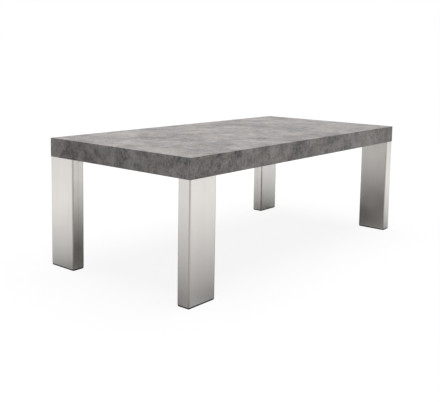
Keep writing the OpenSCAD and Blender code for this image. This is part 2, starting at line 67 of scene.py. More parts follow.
class Signal:
    """One socket of a material's nodes, on which Python's operators add Math nodes."""

    def __init__(self, graph: "Graph", socket: bpy.types.NodeSocket) -> None:
        """Keeps the graph that the socket belongs to."""
        self.graph = graph
        self.socket = socket

    def _math(self, operation: str, left: "Value", right: "Value") -> "Signal":
        """Adds one Math node."""
        return self.graph.node("ShaderNodeMath", {"operation": operation}, {0: left, 1: right})

    def __add__(self, other: "Value") -> "Signal":
        """self + other."""
        return self._math("ADD", self, other)

    def __radd__(self, other: "Value") -> "Signal":
        """other + self."""
        return self._math("ADD", other, self)

    def __sub__(self, other: "Value") -> "Signal":
        """self - other."""
        return self._math("SUBTRACT", self, other)

    def __rsub__(self, other: "Value") -> "Signal":
        """other - self."""
        return self._math("SUBTRACT", other, self)

    def __mul__(self, other: "Value") -> "Signal":
        """self * other."""
        return self._math("MULTIPLY", self, other)

    def __rmul__(self, other: "Value") -> "Signal":
        """other * self."""
        return self._math("MULTIPLY", other, self)

    def __abs__(self) -> "Signal":
        """The value without its sign."""
        return self.graph.node("ShaderNodeMath", {"operation": "ABSOLUTE"}, {0: self})


Value = Union[Signal, float, Sequence[float]]
Triple = tuple[float, float, float]
Colour = Triple


class Graph:
    """A material's node tree with one Principled shader."""

    def __init__(self, name: str) -> None:
        """Makes an empty material with a shader and an output."""
        self.material = bpy.data.materials.new(name)
        self.material.use_nodes = True
        self.tree = self.material.node_tree
        self.tree.nodes.clear()
        self.shader = self.tree.nodes.new("ShaderNodeBsdfPrincipled")
        output = self.tree.nodes.new("ShaderNodeOutputMaterial")
        self.tree.links.new(self.shader.outputs["BSDF"], output.inputs["Surface"])

    def node(self, kind: str, settings: dict, inputs: dict, out: Union[int, str] = 0) -> Signal:
        """Adds a node.

        Args:
            kind: Blender's name of the node type.
            settings: properties to set first, with "stops" for a ramp's positions and colours.
            inputs: values or signals, by socket name or number.
            out: which output to return.

        Returns:
            The chosen output.
        """
        made = self.tree.nodes.new(kind)
        for key, value in settings.items():
            if key == "stops":
                ramp = made.color_ramp.elements
                while len(ramp) < len(value):
                    ramp.new(0.5)
                for element, (place, colour) in zip(ramp, value):
                    element.position = place
                    element.color = (*colour, 1.0)
            else:
                setattr(made, key, value)
        for key, value in inputs.items():
            self.feed(made.inputs[key], value)
        return Signal(self, made.outputs[out])

    def feed(self, socket: bpy.types.NodeSocket, value: Value) -> None:
        """Links a signal to a socket, or sets the socket to a constant."""
        if isinstance(value, Signal):
            self.tree.links.new(value.socket, socket)
        elif isinstance(value, (int, float)):
            socket.default_value = value
        else:
            size = len(socket.default_value)
            socket.default_value = tuple(value) + (1.0,) * (size - len(value))

    def set(self, **values: Value) -> None:
        """Sets inputs of the shader, with _ for a space in a name."""
        for key, value in values.items():
            self.feed(self.shader.inputs[key.replace("_", " ")], value)

    def place(self, stretch: Sequence[float] = (1, 1, 1), turn: Sequence[float] = (0, 0, 0)) -> Signal:
        """The point on the object in metres, stretched and turned for a pattern."""
        point = self.node("ShaderNodeTexCoord", {}, {}, "Object")
        return self.node("ShaderNodeMapping", {}, {"Vector": point, "Scale": stretch, "Rotation": turn})

    def noise(self, at: Signal, scale: float, detail: float = 3.0, rough: float = 0.5,
              distort: float = 0.0) -> Signal:
        """Soft noise from 0 to 1 at so many cells per metre."""
        return self.node("ShaderNodeTexNoise", {}, {"Vector": at, "Scale": scale, "Detail": detail,
                                                    "Roughness": rough, "Distortion": distort})

    def ramp(self, value: Signal, *stops: tuple[float, Colour]) -> Signal:
        """A colour ramp over a value."""
        return self.node("ShaderNodeValToRGB", {"stops": stops}, {0: value})

    def level(self, value: Signal, low: float, high: float, to_low: float = 0.0,
              to_high: float = 1.0) -> Signal:
        """Maps low..high to to_low..to_high, held at both ends."""
        return self.node("ShaderNodeMapRange", {"clamp": True},
                         {0: value, 1: low, 2: high, 3: to_low, 4: to_high})

    def mix(self, share: Value, first: Value, second: Value, blend: str = "MIX") -> Signal:
        """Mixes two colours."""
        return self.node("ShaderNodeMix", {"data_type": "RGBA", "blend_type": blend},
                         {0: share, 6: first, 7: second}, 2)

    def shade(self, colour: Colour, tone: Signal) -> Signal:
        """A colour made lighter or darker by a tone, where 1 leaves it as it is."""
        red, green, blue = colour
        return self.node("ShaderNodeCombineColor", {}, {0: tone * red, 1: tone * green, 2: tone * blue})

    def lines(self, noise: Signal, width: float) -> Signal:
        """Thin lines where the noise crosses its middle."""
        return self.level(abs(noise - 0.5), 0.0, width, 1.0, 0.0)

    def length(self, point: Signal) -> Signal:
        """How far a point is from the origin."""
        return self.node("ShaderNodeVectorMath", {"operation": "LENGTH"}, {0: point}, "Value")

    def ray(self, kind: str) -> Signal:
        """1 for rays of a kind that the Light Path node names, and 0 for others."""
        return self.node("ShaderNodeLightPath", {}, {}, kind)

    def bump(self, height: Signal, depth: float, strength: float = 1.0) -> None:
        """Feeds a bump of that depth in metres to the shader."""
        self.set(Normal=self.node("ShaderNodeBump", {}, {"Height": height, "Distance": depth,
                                                         "Strength": strength}))


# ---------------------------------------------------------------- finishes


@dataclass(frozen=True)
class Finish:
    """A finish that several pieces can share."""

    slot: str
    name: str

    def paint(self, graph: Graph) -> None:
        """Wires the finish's own pattern."""
        raise NotImplementedError

    def material(self) -> bpy.types.Material:
        """The finish's material, made the first time that it is asked for."""
        name = f"{self.name}_finish"
        if name not in bpy.data.materials:
            self.paint(Graph(name))
        return bpy.data.materials[name]


@dataclass(frozen=True)
class Mottle:
    """One layer of a print: noise with so many cells per metre, and how strongly it shows."""

    scale: float
    detail: float
    rough: float
    distort: float = 0.0
    turn: Triple = (0.0, 0.0, 0.0)
    stretch: Triple = (1.0, 1.0, 1.0)
    share: float = 1.0
    low: float = 0.0
    high: float = 1.0

    def noise(self, graph: Graph) -> Signal:
        """The layer's noise."""
        at = graph.place(self.stretch, self.turn)
        return graph.noise(at, self.scale, self.detail, self.rough, self.distort)

    def swing(self, graph: Graph, noise: Signal) -> Signal:
        """How much the noise lightens or darkens the print, evenly about 0."""
        return graph.level(noise, self.low, self.high, -0.5, 0.5) * self.share

    def rise(self, graph: Graph, noise: Signal) -> Signal:
        """How much the print has of the layer where the noise is high."""
        return graph.level(noise, self.low, self.high) * self.share


@dataclass(frozen=True)
class ConcreteLaminate(Finish):
    """Matt printed laminate with the cloudy mottling and trowel marks of cast concrete."""

    slot: str = "concrete_laminate"
    name: str = "concrete_laminate"
    base: Colour = (0.189, 0.1745, 0.1685)
    contrast: float = 1.42
    clouds: Mottle = Mottle(4.2, 6, 0.62, 0.7, share=0.56, low=0.36, high=0.64)
    patches: Mottle = Mottle(13.0, 6, 0.68, 0.5, (0.3, 0.2, 0.7), share=0.58, low=0.38, high=0.62)
    scuffs: Mottle = Mottle(34.0, 5, 0.7, 1.2, (0.9, 0.1, 0.2), share=0.3, low=0.38, high=0.66)
    streaks: Mottle = Mottle(4.0, 5, 0.65, 0, (0, 0, 0.12), (2.2, 14, 14), 0.2, 0.34, 0.66)
    speckle: Mottle = Mottle(105.0, 4, 0.7, 0.4, (0.2, 0.5, 0.1), (1, 1, 0.6), 0.4, 0.4, 0.6)
    flecks: Mottle = Mottle(62.0, 5, 0.75, 0.9, (0.4, 0.1, 0.6), (1, 1, 0.8), 0.34, 0.6, 0.68)
    pit_share: float = 0.22
    grain: Mottle = Mottle(420.0, 3, 0.6, share=0.35)
    crack_share: float = 0.2
    crack_width: float = 0.012
    swirls: Mottle = Mottle(17.0, 5, 0.62, 1.8, (0.7, 0.9, 0.3), share=0.3)
    swirl_width: float = 0.03
    arcs: Mottle = Mottle(1.9, 2, 0.45, 0.5, (0.2, 0.4, 1.3), share=0.26)
    arc_width: float = 0.009
    warmth: Mottle = Mottle(6.0, 3, 0.5, 0.4, (1.1, 0.4, 0), low=0.35, high=0.65)
    pores: Mottle = Mottle(260.0, 2, 0.5, share=0.35, low=0.70, high=0.76)

    def tone(self, graph: Graph, patches: Signal, grain: Signal) -> Signal:
        """The lightness of the print.

        Args:
            graph: the material's nodes.
            patches: the noise of the patches.
            grain: the noise of the grain.

        Returns:
            The mottling about 1, with light flecks and swirls, and dark pits, cracks and arcs.
        """
        clouds, streaks, flecks = (layer.noise(graph) for layer in (self.clouds, self.streaks, self.flecks))
        tone = (self.clouds.swing(graph, clouds) + self.patches.swing(graph, patches)
                + self.scuffs.swing(graph, self.scuffs.noise(graph)) + self.streaks.swing(graph, streaks)
                + self.speckle.swing(graph, self.speckle.noise(graph)) + self.flecks.rise(graph, flecks)
                - graph.level(flecks, 0.4, 0.33) * self.pit_share + (grain - 0.5) * self.grain.share)
        cracks = graph.lines(patches, self.crack_width) * graph.level(clouds, 0.5, 0.62)
        swirls = graph.lines(self.swirls.noise(graph), self.swirl_width) * graph.level(streaks, 0.46, 0.58)
        arcs = graph.lines(self.arcs.noise(graph), self.arc_width) * graph.level(patches, 0.4, 0.56)
        return ((tone * self.contrast + 1.0) * (1.0 - cracks * self.crack_share)
                * (1.0 - arcs * self.arcs.share) + swirls * self.swirls.share)

    def paint(self, graph: Graph) -> None:
        """The print in a warm and a cool tint, with fine pores."""
        patches, grain, pores = (layer.noise(graph) for layer in (self.patches, self.grain, self.pores))
        red, green, blue = self.base
        tint = graph.mix(self.warmth.rise(graph, self.warmth.noise(graph)),
                         (red * 0.985, green, blue * 1.03), (red * 1.04, green, blue * 0.955))
        print_tone = graph.shade((1.0, 1.0, 1.0), self.tone(graph, patches, grain))
        shaded = graph.mix(1.0, tint, print_tone, "MULTIPLY")
        graph.set(Base_Color=graph.mix(self.pores.rise(graph, pores), shaded,
                                       (red * 0.6, green * 0.6, blue * 0.6)),
                  Roughness=graph.level(patches, 0.36, 0.64, 0.4, 0.54), Specular_IOR_Level=0.42)
        graph.bump(grain * 0.6 - graph.level(pores, self.pores.low, self.pores.high), 0.06 * MM, 0.5)


@dataclass(frozen=True)
class BrushedSteel(Finish):
    """Stainless sheet with a fine grain running up the leg, and painted shade along its bends."""

    slot: str = "brushed_leg_steel"
    name: str = "brushed_leg_steel"
    base: Colour = (0.638, 0.620, 0.594)
    bend_painted_shade: Colour = (0.25, 0.2, 0.165)
    bend_shade_share: float = 0.55

    def paint(self, graph: Graph) -> None:
        """Long hair lines, broad polishing bands and faint handling marks."""
        hairs = graph.noise(graph.place((900, 900, 3.5)), 1.0, 4, 0.65)
        fine = graph.noise(graph.place((3200, 3200, 9)), 1.0, 2, 0.5)
        bands = graph.noise(graph.place((26, 26, 0.9)), 1.0, 3, 0.5)
        marks = graph.noise(graph.place(), 9.0, 4, 0.6, 0.8)
        grain = hairs * 0.6 + fine * 0.4
        shade = graph.level(grain, 0.3, 0.7, 0.955, 1.03) * graph.level(bands, 0.3, 0.7, 0.98, 1.02)
        sheet = graph.shade(self.base, shade)
        bend = graph.node("ShaderNodeAttribute", {"attribute_name": BEND}, {}, "Fac")
        rough = graph.level(grain, 0.3, 0.7, 0.27, 0.37) + graph.level(marks, 0.4, 0.7, 0.0, 0.05)
        # painted shade: a brownish dark tone is mixed into the steel's colour on the bends
        graph.set(Base_Color=graph.mix(bend * self.bend_shade_share, sheet, self.bend_painted_shade), Metallic=1.0,
                  Roughness=rough, Anisotropic=0.35)
        graph.bump(grain, 0.02 * MM, 0.35)


@dataclass(frozen=True)
class WeldTint(Finish):
    """A ground weld, tinted straw and brown by its heat."""

    slot: str = "brushed_leg_steel"
    name: str = "weld_tint"
    straw: Colour = (0.20, 0.135, 0.085)
    brown: Colour = (0.06, 0.042, 0.032)

    def paint(self, graph: Graph) -> None:
        """Bands of tint along the weld and a rough, rippled surface."""
        tint = graph.noise(graph.place((1, 1, 14)), 3.0, 3, 0.55)
        pits = graph.noise(graph.place(), 1800.0, 3, 0.6)
        graph.set(Base_Color=graph.ramp(tint, (0.35, self.brown), (0.65, self.straw)), Metallic=0.7,
                  Roughness=graph.level(pits, 0.3, 0.7, 0.4, 0.62))
        graph.bump(pits, 0.06 * MM, 0.5)


@dataclass(frozen=True)
class Wood(Finish):
    """Waxed wood with growth rings along X or Y."""

    slot: str = "beech"
    name: str = "beech"
    light: Colour = (0.64, 0.43, 0.25)
    dark: Colour = (0.47, 0.28, 0.145)
    along_y: bool = False

    def paint(self, graph: Graph) -> None:
        """Rings bent by noise, with short dark flecks between them."""
        stretch = (14, 0.9, 14) if self.along_y else (0.9, 14, 14)
        fine = (160, 6, 160) if self.along_y else (6, 160, 160)
        rings = graph.noise(graph.place(stretch), 2.2, 4, 0.55, 1.4)
        pores = graph.noise(graph.place(fine), 1.6, 3, 0.6)
        flecks = graph.level(pores, 0.62, 0.72)
        body = graph.ramp(rings, (0.32, self.dark), (0.5, self.light), (0.68, self.dark))
        graph.set(Base_Color=graph.mix(flecks * 0.5, body, tuple(c * 0.55 for c in self.dark)),
                  Roughness=graph.level(rings, 0.3, 0.7, 0.42, 0.55), Specular_IOR_Level=0.4)
        graph.bump(pores, 0.15 * MM, 0.4)


@dataclass(frozen=True)
class Metal(Finish):
    """A plain metal with a drawn or tumbled surface."""

    slot: str = "zinc_steel"
    name: str = "zinc_steel"
    base: Colour = (0.62, 0.62, 0.6)
    rough: float = 0.34
    stretch: Triple = (60, 60, 60)
    spread: float = 0.08

    def paint(self, graph: Graph) -> None:
        """Fine drawn lines and cloudy plating."""
        lines = graph.noise(graph.place(self.stretch), 6.0, 4, 0.6)
        cloud = graph.noise(graph.place(), 38.0, 3, 0.5, 0.5)
        tone = graph.level(lines, 0.3, 0.7, 1 - self.spread, 1 + self.spread * 0.5)
        graph.set(Base_Color=graph.shade(self.base, tone), Metallic=1.0,
                  Roughness=graph.level(cloud, 0.3, 0.7, self.rough - 0.07, self.rough + 0.09))
        graph.bump(lines, 0.04 * MM, 0.4)


@dataclass(frozen=True)
class Moulded(Finish):
    """Moulded plastic, rubber or powder coat: one colour with a fine texture."""

    slot: str = "nylon"
    name: str = "nylon"
    base: Colour = (0.66, 0.64, 0.58)
    rough: float = 0.45
    grain: float = 900.0
    depth: float = 0.06 * MM
    spread: float = 0.08

    def paint(self, graph: Graph) -> None:
        """Speckle in colour, gloss and height."""
        speck = graph.noise(graph.place(), self.grain, 2, 0.5)
        wear = graph.noise(graph.place(), 22.0, 4, 0.6, 0.4)
        tone = graph.level(speck, 0.3, 0.7, 1 - self.spread, 1 + self.spread)
        tone = tone * graph.level(wear, 0.3, 0.7, 0.95, 1.05)
        graph.set(Base_Color=graph.shade(self.base, tone),
                  Roughness=graph.level(wear, 0.3, 0.7, self.rough - 0.05, self.rough + 0.08))
        graph.bump(speck, self.depth, 0.5)


@dataclass(frozen=True)
class Felt(Finish):
    """Pressed wool felt with matted fibres."""

    slot: str = "felt"
    name: str = "felt"
    base: Colour = (0.16, 0.165, 0.17)

    def paint(self, graph: Graph) -> None:
        """Crossed fibres in colour and height."""
        first = graph.noise(graph.place((400, 90, 200), (0, 0, 0.5)), 3.0, 4, 0.7, 1.5)
        second = graph.noise(graph.place((90, 400, 200), (0, 0, 0.4)), 3.0, 4, 0.7, 1.5)
        fibre = first * 0.5 + second * 0.5
        red, green, blue = self.base
        graph.set(Base_Color=graph.ramp(fibre, (0.35, (red * 0.55, green * 0.55, blue * 0.55)),
                                        (0.65, (red * 1.7, green * 1.7, blue * 1.7))),
                  Roughness=0.95, Sheen_Weight=0.4)
        graph.bump(fibre, 0.5 * MM, 0.7)


LAMINATE = ConcreteLaminate()
LEG_STEEL = BrushedSteel()
BEECH = Wood()
BEECH_ACROSS = Wood(name="beech_across", along_y=True)
PALE_ALUMINIUM = (0.74, 0.745, 0.75)
ALUMINIUM = Metal("aluminium_profile", "aluminium_profile", PALE_ALUMINIUM, 0.36, (2, 260, 260), 0.06)
ALUMINIUM_ACROSS = Metal("aluminium_profile", "aluminium_across", PALE_ALUMINIUM, 0.36, (260, 2, 260), 0.06)
ZINC = Metal()
BRASS = Metal("brass_fittings", "brass_fittings", (0.72, 0.52, 0.22), 0.3, (90, 90, 90), 0.1)
POWDER = Moulded("dark_painted_steel", "dark_painted_steel", (0.035, 0.036, 0.04), 0.42, 1400.0, 0.08 * MM,
                 0.2)
NYLON = Moulded()
FOOT_PLASTIC = Moulded("foot_plastic", "foot_plastic", (0.022, 0.022, 0.023), 0.55, 1100.0, 0.1 * MM, 0.2)
RUBBER = Moulded("rubber", "rubber", (0.03, 0.03, 0.031), 0.7, 1500.0, 0.1 * MM, 0.25)
FELT = Felt()
WELD = WeldTint()


# ---------------------------------------------------------------- making pieces


class Body(Enum):
    """The bodies that pieces ride on."""

    LEFT = "left_half"
    RIGHT = "right_half"
    CARRIAGE = "carriage"
    PINION = "pinion"
    FRONT_LEVER = "front_lever"
    REAR_LEVER = "rear_lever"


class Side(Enum):
    """A half of the table, with the sign of its X."""

    LEFT = -1
    RIGHT = 1

    @property
    def word(self) -> str:
        """The side's name as it starts a piece's name."""
        return self.name.lower()

    @property
    def body(self) -> Body:
        """The body that the half's pieces ride on."""
        return Body.LEFT if self is Side.LEFT else Body.RIGHT


def finish_piece(mesh: bmesh.types.BMesh, name: str, finish: Finish, body: Body,
                 nodes: Iterable[str] = (), smooth: float = 35.0) -> bpy.types.Object:
    """Turns a bmesh into a piece that rides on its body.

    Args:
        mesh: the shape, in place, which is freed here.
        name: the piece's name.
        finish: what it is finished in.
        body: the body that it rides on.
        nodes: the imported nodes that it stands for.
        smooth: the angle in degrees above which an edge stays sharp.

    Returns:
        The new object.
    """
    data = bpy.data.meshes.new(name)
    for face in mesh.faces:
        face.smooth = True
    mesh.to_mesh(data)
    mesh.free()
    data.set_sharp_from_angle(angle=math.radians(smooth))
    data.materials.append(finish.material())
    piece = bpy.data.objects.new(name, data)
    bpy.context.scene.collection.objects.link(piece)
    evened = piece.modifiers.new("even_shading", "WEIGHTED_NORMAL")
    evened.keep_sharp = True
    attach(piece, body.value)
    if nodes:
        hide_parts(*nodes)
    LOG.info("%s: %d faces", name, len(data.polygons))
    return piece


def sharp_edges(mesh: bmesh.types.BMesh, angle: float = 40.0) -> list[bmesh.types.BMEdge]:
    """The edges whose two faces meet at more than that angle in degrees."""
    limit = math.radians(angle)
    return [e for e in mesh.edges if len(e.link_faces) == 2 and e.calc_face_angle(0.0) > limit]


def node_copy(node: str) -> bmesh.types.BMesh:
    """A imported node's shape as a merged bmesh with whole flat faces."""
    mesh = bmesh.new()
    mesh.from_mesh(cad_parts[node].data)
    bmesh.ops.remove_doubles(mesh, verts=mesh.verts[:], dist=MERGE)
    bmesh.ops.dissolve_limit(mesh, angle_limit=math.radians(FLAT), verts=mesh.verts[:], edges=mesh.edges[:],
                             delimit=set())
    return mesh


def ease(mesh: bmesh.types.BMesh, offset: float, segments: int = 2, angle: float = 40.0) -> None:
    """Takes the sharpness off every edge of a shape by that much, in metres."""
    bmesh.ops.bevel(mesh, geom=sharp_edges(mesh, angle), offset=offset, offset_type="OFFSET",
                    affect="EDGES", segments=segments, profile=0.5, material=-1, clamp_overlap=True)


def settle(mesh: bmesh.types.BMesh) -> None:
    """Puts faces in the order of their corners, since spin and inset_region leave no fixed order."""
    mesh.verts.index_update()
    spots = [vert.co.copy() for vert in mesh.verts]
    rings = sorted(tuple(vert.index for vert in face.verts) for face in mesh.faces)
    mesh.clear()
    verts = [mesh.verts.new(spot) for spot in spots]
    for ring in rings:
        mesh.faces.new([verts[k] for k in ring])


@dataclass
class FinishedNode:
    """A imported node, with its edges eased and in its own finish."""

    node: str
    finish: Finish
    body: Body
    easing: float = 0.3 * MM
    segments: int = 1

    def build(self) -> bpy.types.Object:
        """Builds the piece that stands for the node."""
        mesh = node_copy(self.node)
        if self.easing:
            ease(mesh, self.easing, self.segments)
        return finish_piece(mesh, f"{self.node}_piece", self.finish, self.body, [self.node])


@dataclass
class LegTube:
    """One leg: a tube of folded sheet, closed by a weld down its inner narrow face."""

    node: str
    body: Body
    weld_w: float = 0.9 * MM
    weld_deep: float = 0.55 * MM
    weld_proud: float = 0.12 * MM
    weld_gap: float = 1.0 * MM
    ripple: float = 0.1 * MM
    ripple_turn: float = 2.1
    cuts: int = 160

    def tube(self) -> bpy.types.Object:
        """The folded sheet, whose bends, the upright faces along neither X nor Y, are marked for the
        steel's painted shade.
        """
        mesh = node_copy(self.node)
        bend = mesh.faces.layers.float.new(BEND)
        for face in mesh.faces:
            across = max(abs(face.normal.x), abs(face.normal.y))
            face[bend] = 1.0 if abs(face.normal.z) < 0.3 and across < 0.9995 else 0.0
        return finish_piece(mesh, f"{self.node}_piece", LEG_STEEL, self.body, [self.node])

    def weld(self) -> bpy.types.Object:
        """The weld's rippled bead, which lies in the sheet's groove."""
        low, high = (Vector(corner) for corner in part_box(self.node))
        size, middle = high - low, (low + high) / 2
        along_x = size.x > size.y
        across = 0 if along_x else 1
        out = -1.0 if middle[across] > 0 else 1.0
        inner = low[across] if out < 0 else high[across]
        thick = self.weld_deep - self.weld_proud
        mesh = bmesh.new()
        bmesh.ops.create_cube(mesh, size=1.0)
        upright = [e for e in mesh.edges if abs(e.verts[0].co.z - e.verts[1].co.z) > 0.5]
        bmesh.ops.subdivide_edges(mesh, edges=upright, cuts=self.cuts, use_grid_fill=True)
        high_z = size.z - 2 * self.weld_gap
        scale = (thick, self.weld_w, high_z) if along_x else (self.weld_w, thick, high_z)
        bmesh.ops.scale(mesh, verts=mesh.verts[:], vec=scale)
        centre = inner - out * (self.weld_deep + self.weld_proud) / 2
        place = (centre, middle.y, middle.z) if along_x else (middle.x, centre, middle.z)
        bmesh.ops.translate(mesh, verts=mesh.verts[:], vec=place)
        turns = self.cuts * self.ripple_turn
        for vert in mesh.verts:
            if vert.co[across] * out > centre * out:
                vert.co[across] += out * self.ripple * math.sin(vert.co.z / size.z * turns)
        return finish_piece(mesh, f"{self.node}_weld", WELD, self.body)

    def build(self) -> None:
        """Builds the tube and its weld."""
        self.tube()
        self.weld()


@dataclass
class FastenerSet:
    """A node's screws, pins or bolts, each made again with its thread and its drive."""

    node: str
    body: Body
    bolts: bool = False
    sides: int = 24
    screw_r: float = 2.0 * MM
    bolt_r: float = 5.0 * MM
    thread_pitch: float = 1.6 * MM
    thread_depth: float = 0.28 * MM
    thread_share: float = 0.8
    seat_lap: float = 0.2 * MM
    pin_easing: float = 0.5 * MM

    def parts(self) -> Iterable[tuple[Vector, int, float, list[float], float]]:
        """Each solid of the node, in the order of the mesh, so that every run gives the same piece.

        Returns:
            For each, its centre, the axis that it lies along, the way its head points, its levels
            along that axis and its widest radius.
        """
        mesh = node_copy(self.node)
        mesh.verts.index_update()
        met: set[int] = set()
        for start in mesh.verts:
            if start.index in met:
                continue
            met.add(start.index)
            group = [start]
            for vert in group:
                for link in vert.link_edges:
                    other = link.other_vert(vert)
                    if other.index not in met:
                        met.add(other.index)
                        group.append(other)
            low = Vector(min(v.co[k] for v in group) for k in range(3))
            high = Vector(max(v.co[k] for v in group) for k in range(3))
            size, middle = high - low, (low + high) / 2
            axis = max(range(3), key=lambda k: size[k])
            levels = sorted({round(v.co[axis] - middle[axis], 6) for v in group})
            along = Vector(k == axis for k in range(3))
            wide = max((v.co - middle - (v.co[axis] - middle[axis]) * along).length for v in group)
            head_is_low = levels[1] - levels[0] < levels[-1] - levels[-2]
            yield middle, axis, -1.0 if head_is_low else 1.0, levels, wide
        mesh.free()

    def shank(self, mesh: bmesh.types.BMesh, radius: float, tip: float, seat: float) -> None:
        """Spins a shank, threaded most of its way and pointed at its tip, up to the head's seat."""
        threaded = (seat - tip) * self.thread_share
        count = max(3, int(threaded / self.thread_pitch))
        step = threaded / count
        points = [(0.0, tip), (radius * 0.45, tip + step * 0.3)]
        for k in range(count):
            points += [(radius - self.thread_depth, tip + step * (k + 0.6)),
                       (radius, tip + step * (k + 0.95))]
        points += [(radius * 0.96, tip + step * (count + 0.3)), (radius * 0.96, seat), (0.0, seat)]
        verts = [mesh.verts.new((r, 0.0, z)) for r, z in points]
        edges = [mesh.edges.new(pair) for pair in zip(verts, verts[1:])]
        bmesh.ops.spin(mesh, geom=verts + edges, cent=(0, 0, 0), axis=(0, 0, 1), angle=math.tau,
                       steps=self.sides // 2, use_merge=True)
        bmesh.ops.remove_doubles(mesh, verts=mesh.verts[:], dist=1e-6)

    def head(self, mesh: bmesh.types.BMesh, radius: float, seat: float, top: float) -> None:
        """A chamfered hexagon for a bolt, or a pan head with a six-lobed recess for a screw."""
        sides = 6 if self.bolts else self.sides
        made = bmesh.ops.create_cone(mesh, cap_ends=True, segments=sides, radius1=radius, radius2=radius,
                                     depth=top - seat, matrix=Matrix.Translation((0, 0, (top + seat) / 2)))
        faces = [f for v in made["verts"] for f in v.link_faces]
        cap = max(faces, key=lambda f: f.calc_center_median().z)
        bmesh.ops.bevel(mesh, geom=list(cap.edges), offset=(top - seat) * (0.16 if self.bolts else 0.34),
                        offset_type="OFFSET", affect="EDGES", segments=2 if self.bolts else 3,
                        profile=0.5, material=-1, clamp_overlap=True)
        if self.bolts:
            return
        cap = max((f for f in mesh.faces if len(f.verts) >= sides), key=lambda f: f.calc_center_median().z)
        bmesh.ops.inset_region(mesh, faces=[cap], thickness=radius * 0.22)
        for vert in cap.verts:
            turn = math.atan2(vert.co.y, vert.co.x)
            lobe = 1.0 + 0.16 * math.cos(6 * turn)
            vert.co.x, vert.co.y = vert.co.x * lobe, vert.co.y * lobe
        deeper = bmesh.ops.extrude_discrete_faces(mesh, faces=[cap])["faces"]
        verts = deeper[0].verts[:]
        bmesh.ops.translate(mesh, verts=verts, vec=(0, 0, -(top - seat) * 0.6))
        bmesh.ops.scale(mesh, verts=verts, vec=(0.85, 0.85, 1.0))

    def build(self) -> bpy.types.Object:
        """Builds the whole set as one piece."""
        whole = bmesh.new()
        for middle, axis, way, levels, wide in self.parts():
            one = bmesh.new()
            spots = sorted(way * level for level in levels)
            tip, top = spots[0], spots[-1]
            if len(spots) > 2:
                seat = spots[-2]
                self.shank(one, self.bolt_r if self.bolts else self.screw_r, tip, seat + self.seat_lap)
                self.head(one, wide, seat, top)
            else:
                bmesh.ops.create_cone(one, cap_ends=True, segments=self.sides, radius1=wide, radius2=wide,
                                      depth=top - tip)
                ease(one, self.pin_easing, 2)
            bmesh.ops.recalc_face_normals(one, faces=one.faces[:])
            settle(one)
            aim = Vector((0, 0, 0))
            aim[axis] = way
            turn = Vector((0, 0, 1)).rotation_difference(aim).to_matrix().to_4x4()
            bmesh.ops.transform(one, matrix=Matrix.Translation(middle) @ turn, verts=one.verts[:])
            data = bpy.data.meshes.new("fastener")
            one.to_mesh(data)
            one.free()
            whole.from_mesh(data)
            bpy.data.meshes.remove(data)
        return finish_piece(whole, f"{self.node}_piece", ZINC, self.body, [self.node])


@dataclass
class HalfTable:
    """One half: slab, legs, feet and the fittings inside the slab."""

    side: Side

    def rows(self) -> list[FinishedNode]:
        """The half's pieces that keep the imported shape."""
        w, body = self.side.word, self.side.body
        slab = [FinishedNode(f"{w}_{n}", LAMINATE, body, 0.25 * MM)
                for n in ("top_panel", "front_apron", "rear_apron", "end_apron")]
        feet = [FinishedNode(f"{w}_{n}", FOOT_PLASTIC, body, 0.4 * MM) for n in ("front_foot", "rear_foot")]
        inside = [FinishedNode(f"{w}_{n}", f, body, e) for n, f, e in (
            ("battens", BEECH_ACROSS, 0.8 * MM), ("bearers", BEECH, 0.6 * MM),
            ("tracks", ALUMINIUM, 0.3 * MM), ("leg_plates", ZINC, 0.3 * MM),
            ("leg_brackets", POWDER, 0.5 * MM), ("sync_rack", NYLON, 0.2 * MM),
            ("rack_bracket", POWDER, 0.4 * MM))]
        ends = {
            Side.LEFT: (("left_dowel_pins", BRASS, 0.8 * MM), ("front_lock_plate", ZINC, 0.3 * MM),
                        ("rear_lock_plate", ZINC, 0.3 * MM)),
            Side.RIGHT: (("right_pin_bushes", NYLON, 0.3 * MM), ("front_lock_keeper", ZINC, 0.3 * MM),
                         ("rear_lock_keeper", ZINC, 0.3 * MM)),
        }[self.side]
        return slab + feet + inside + [FinishedNode(n, f, body, e) for n, f, e in ends]

    def build(self) -> None:
        """Builds every piece of the half."""
        for row in self.rows():
            row.build()
        for end in ("front", "rear"):
            LegTube(f"{self.side.word}_{end}_leg", self.side.body).build()
        FastenerSet(f"{self.side.word}_screws", self.side.body).build()
        FastenerSet(f"{self.side.word}_leg_bolts", self.side.body, bolts=True).build()


@dataclass
class LockLever:
    """One lock's lever, with a dipped sleeve on the lip that a finger pulls."""

    end: str
    body: Body
    sleeve_t: float = 1.2 * MM
    sleeve_h: float = 11.0 * MM
    lip_t: float = 3.0 * MM
    roundness: float = 1.1 * MM

    def build(self) -> None:
        """Builds the lever and its sleeve."""
        node = f"{self.end}_lock_lever"
        FinishedNode(node, ZINC, self.body, 0.4 * MM).build()
        shape = node_copy(node)
        low = Vector(min(v.co[k] for v in shape.verts) for k in range(3))
        lip = [v.co for v in shape.verts if v.co.z < low.z + MM]
        middle_y = sum(point.y for point in lip) / len(lip)
        width = max(point.y for point in lip) - min(point.y for point in lip)
        shape.free()
        mesh = bmesh.new()
        bmesh.ops.create_cube(mesh, size=1.0)
        bmesh.ops.scale(mesh, verts=mesh.verts[:], vec=(self.lip_t + 2 * self.sleeve_t,
                                                        width + 2 * self.sleeve_t, self.sleeve_h))
        bmesh.ops.translate(mesh, verts=mesh.verts[:], vec=(
            low.x + self.lip_t / 2, middle_y, low.z - self.sleeve_t + self.sleeve_h / 2))
        ease(mesh, self.roundness, 4)
        finish_piece(mesh, f"{self.end}_lever_sleeve", RUBBER, self.body)


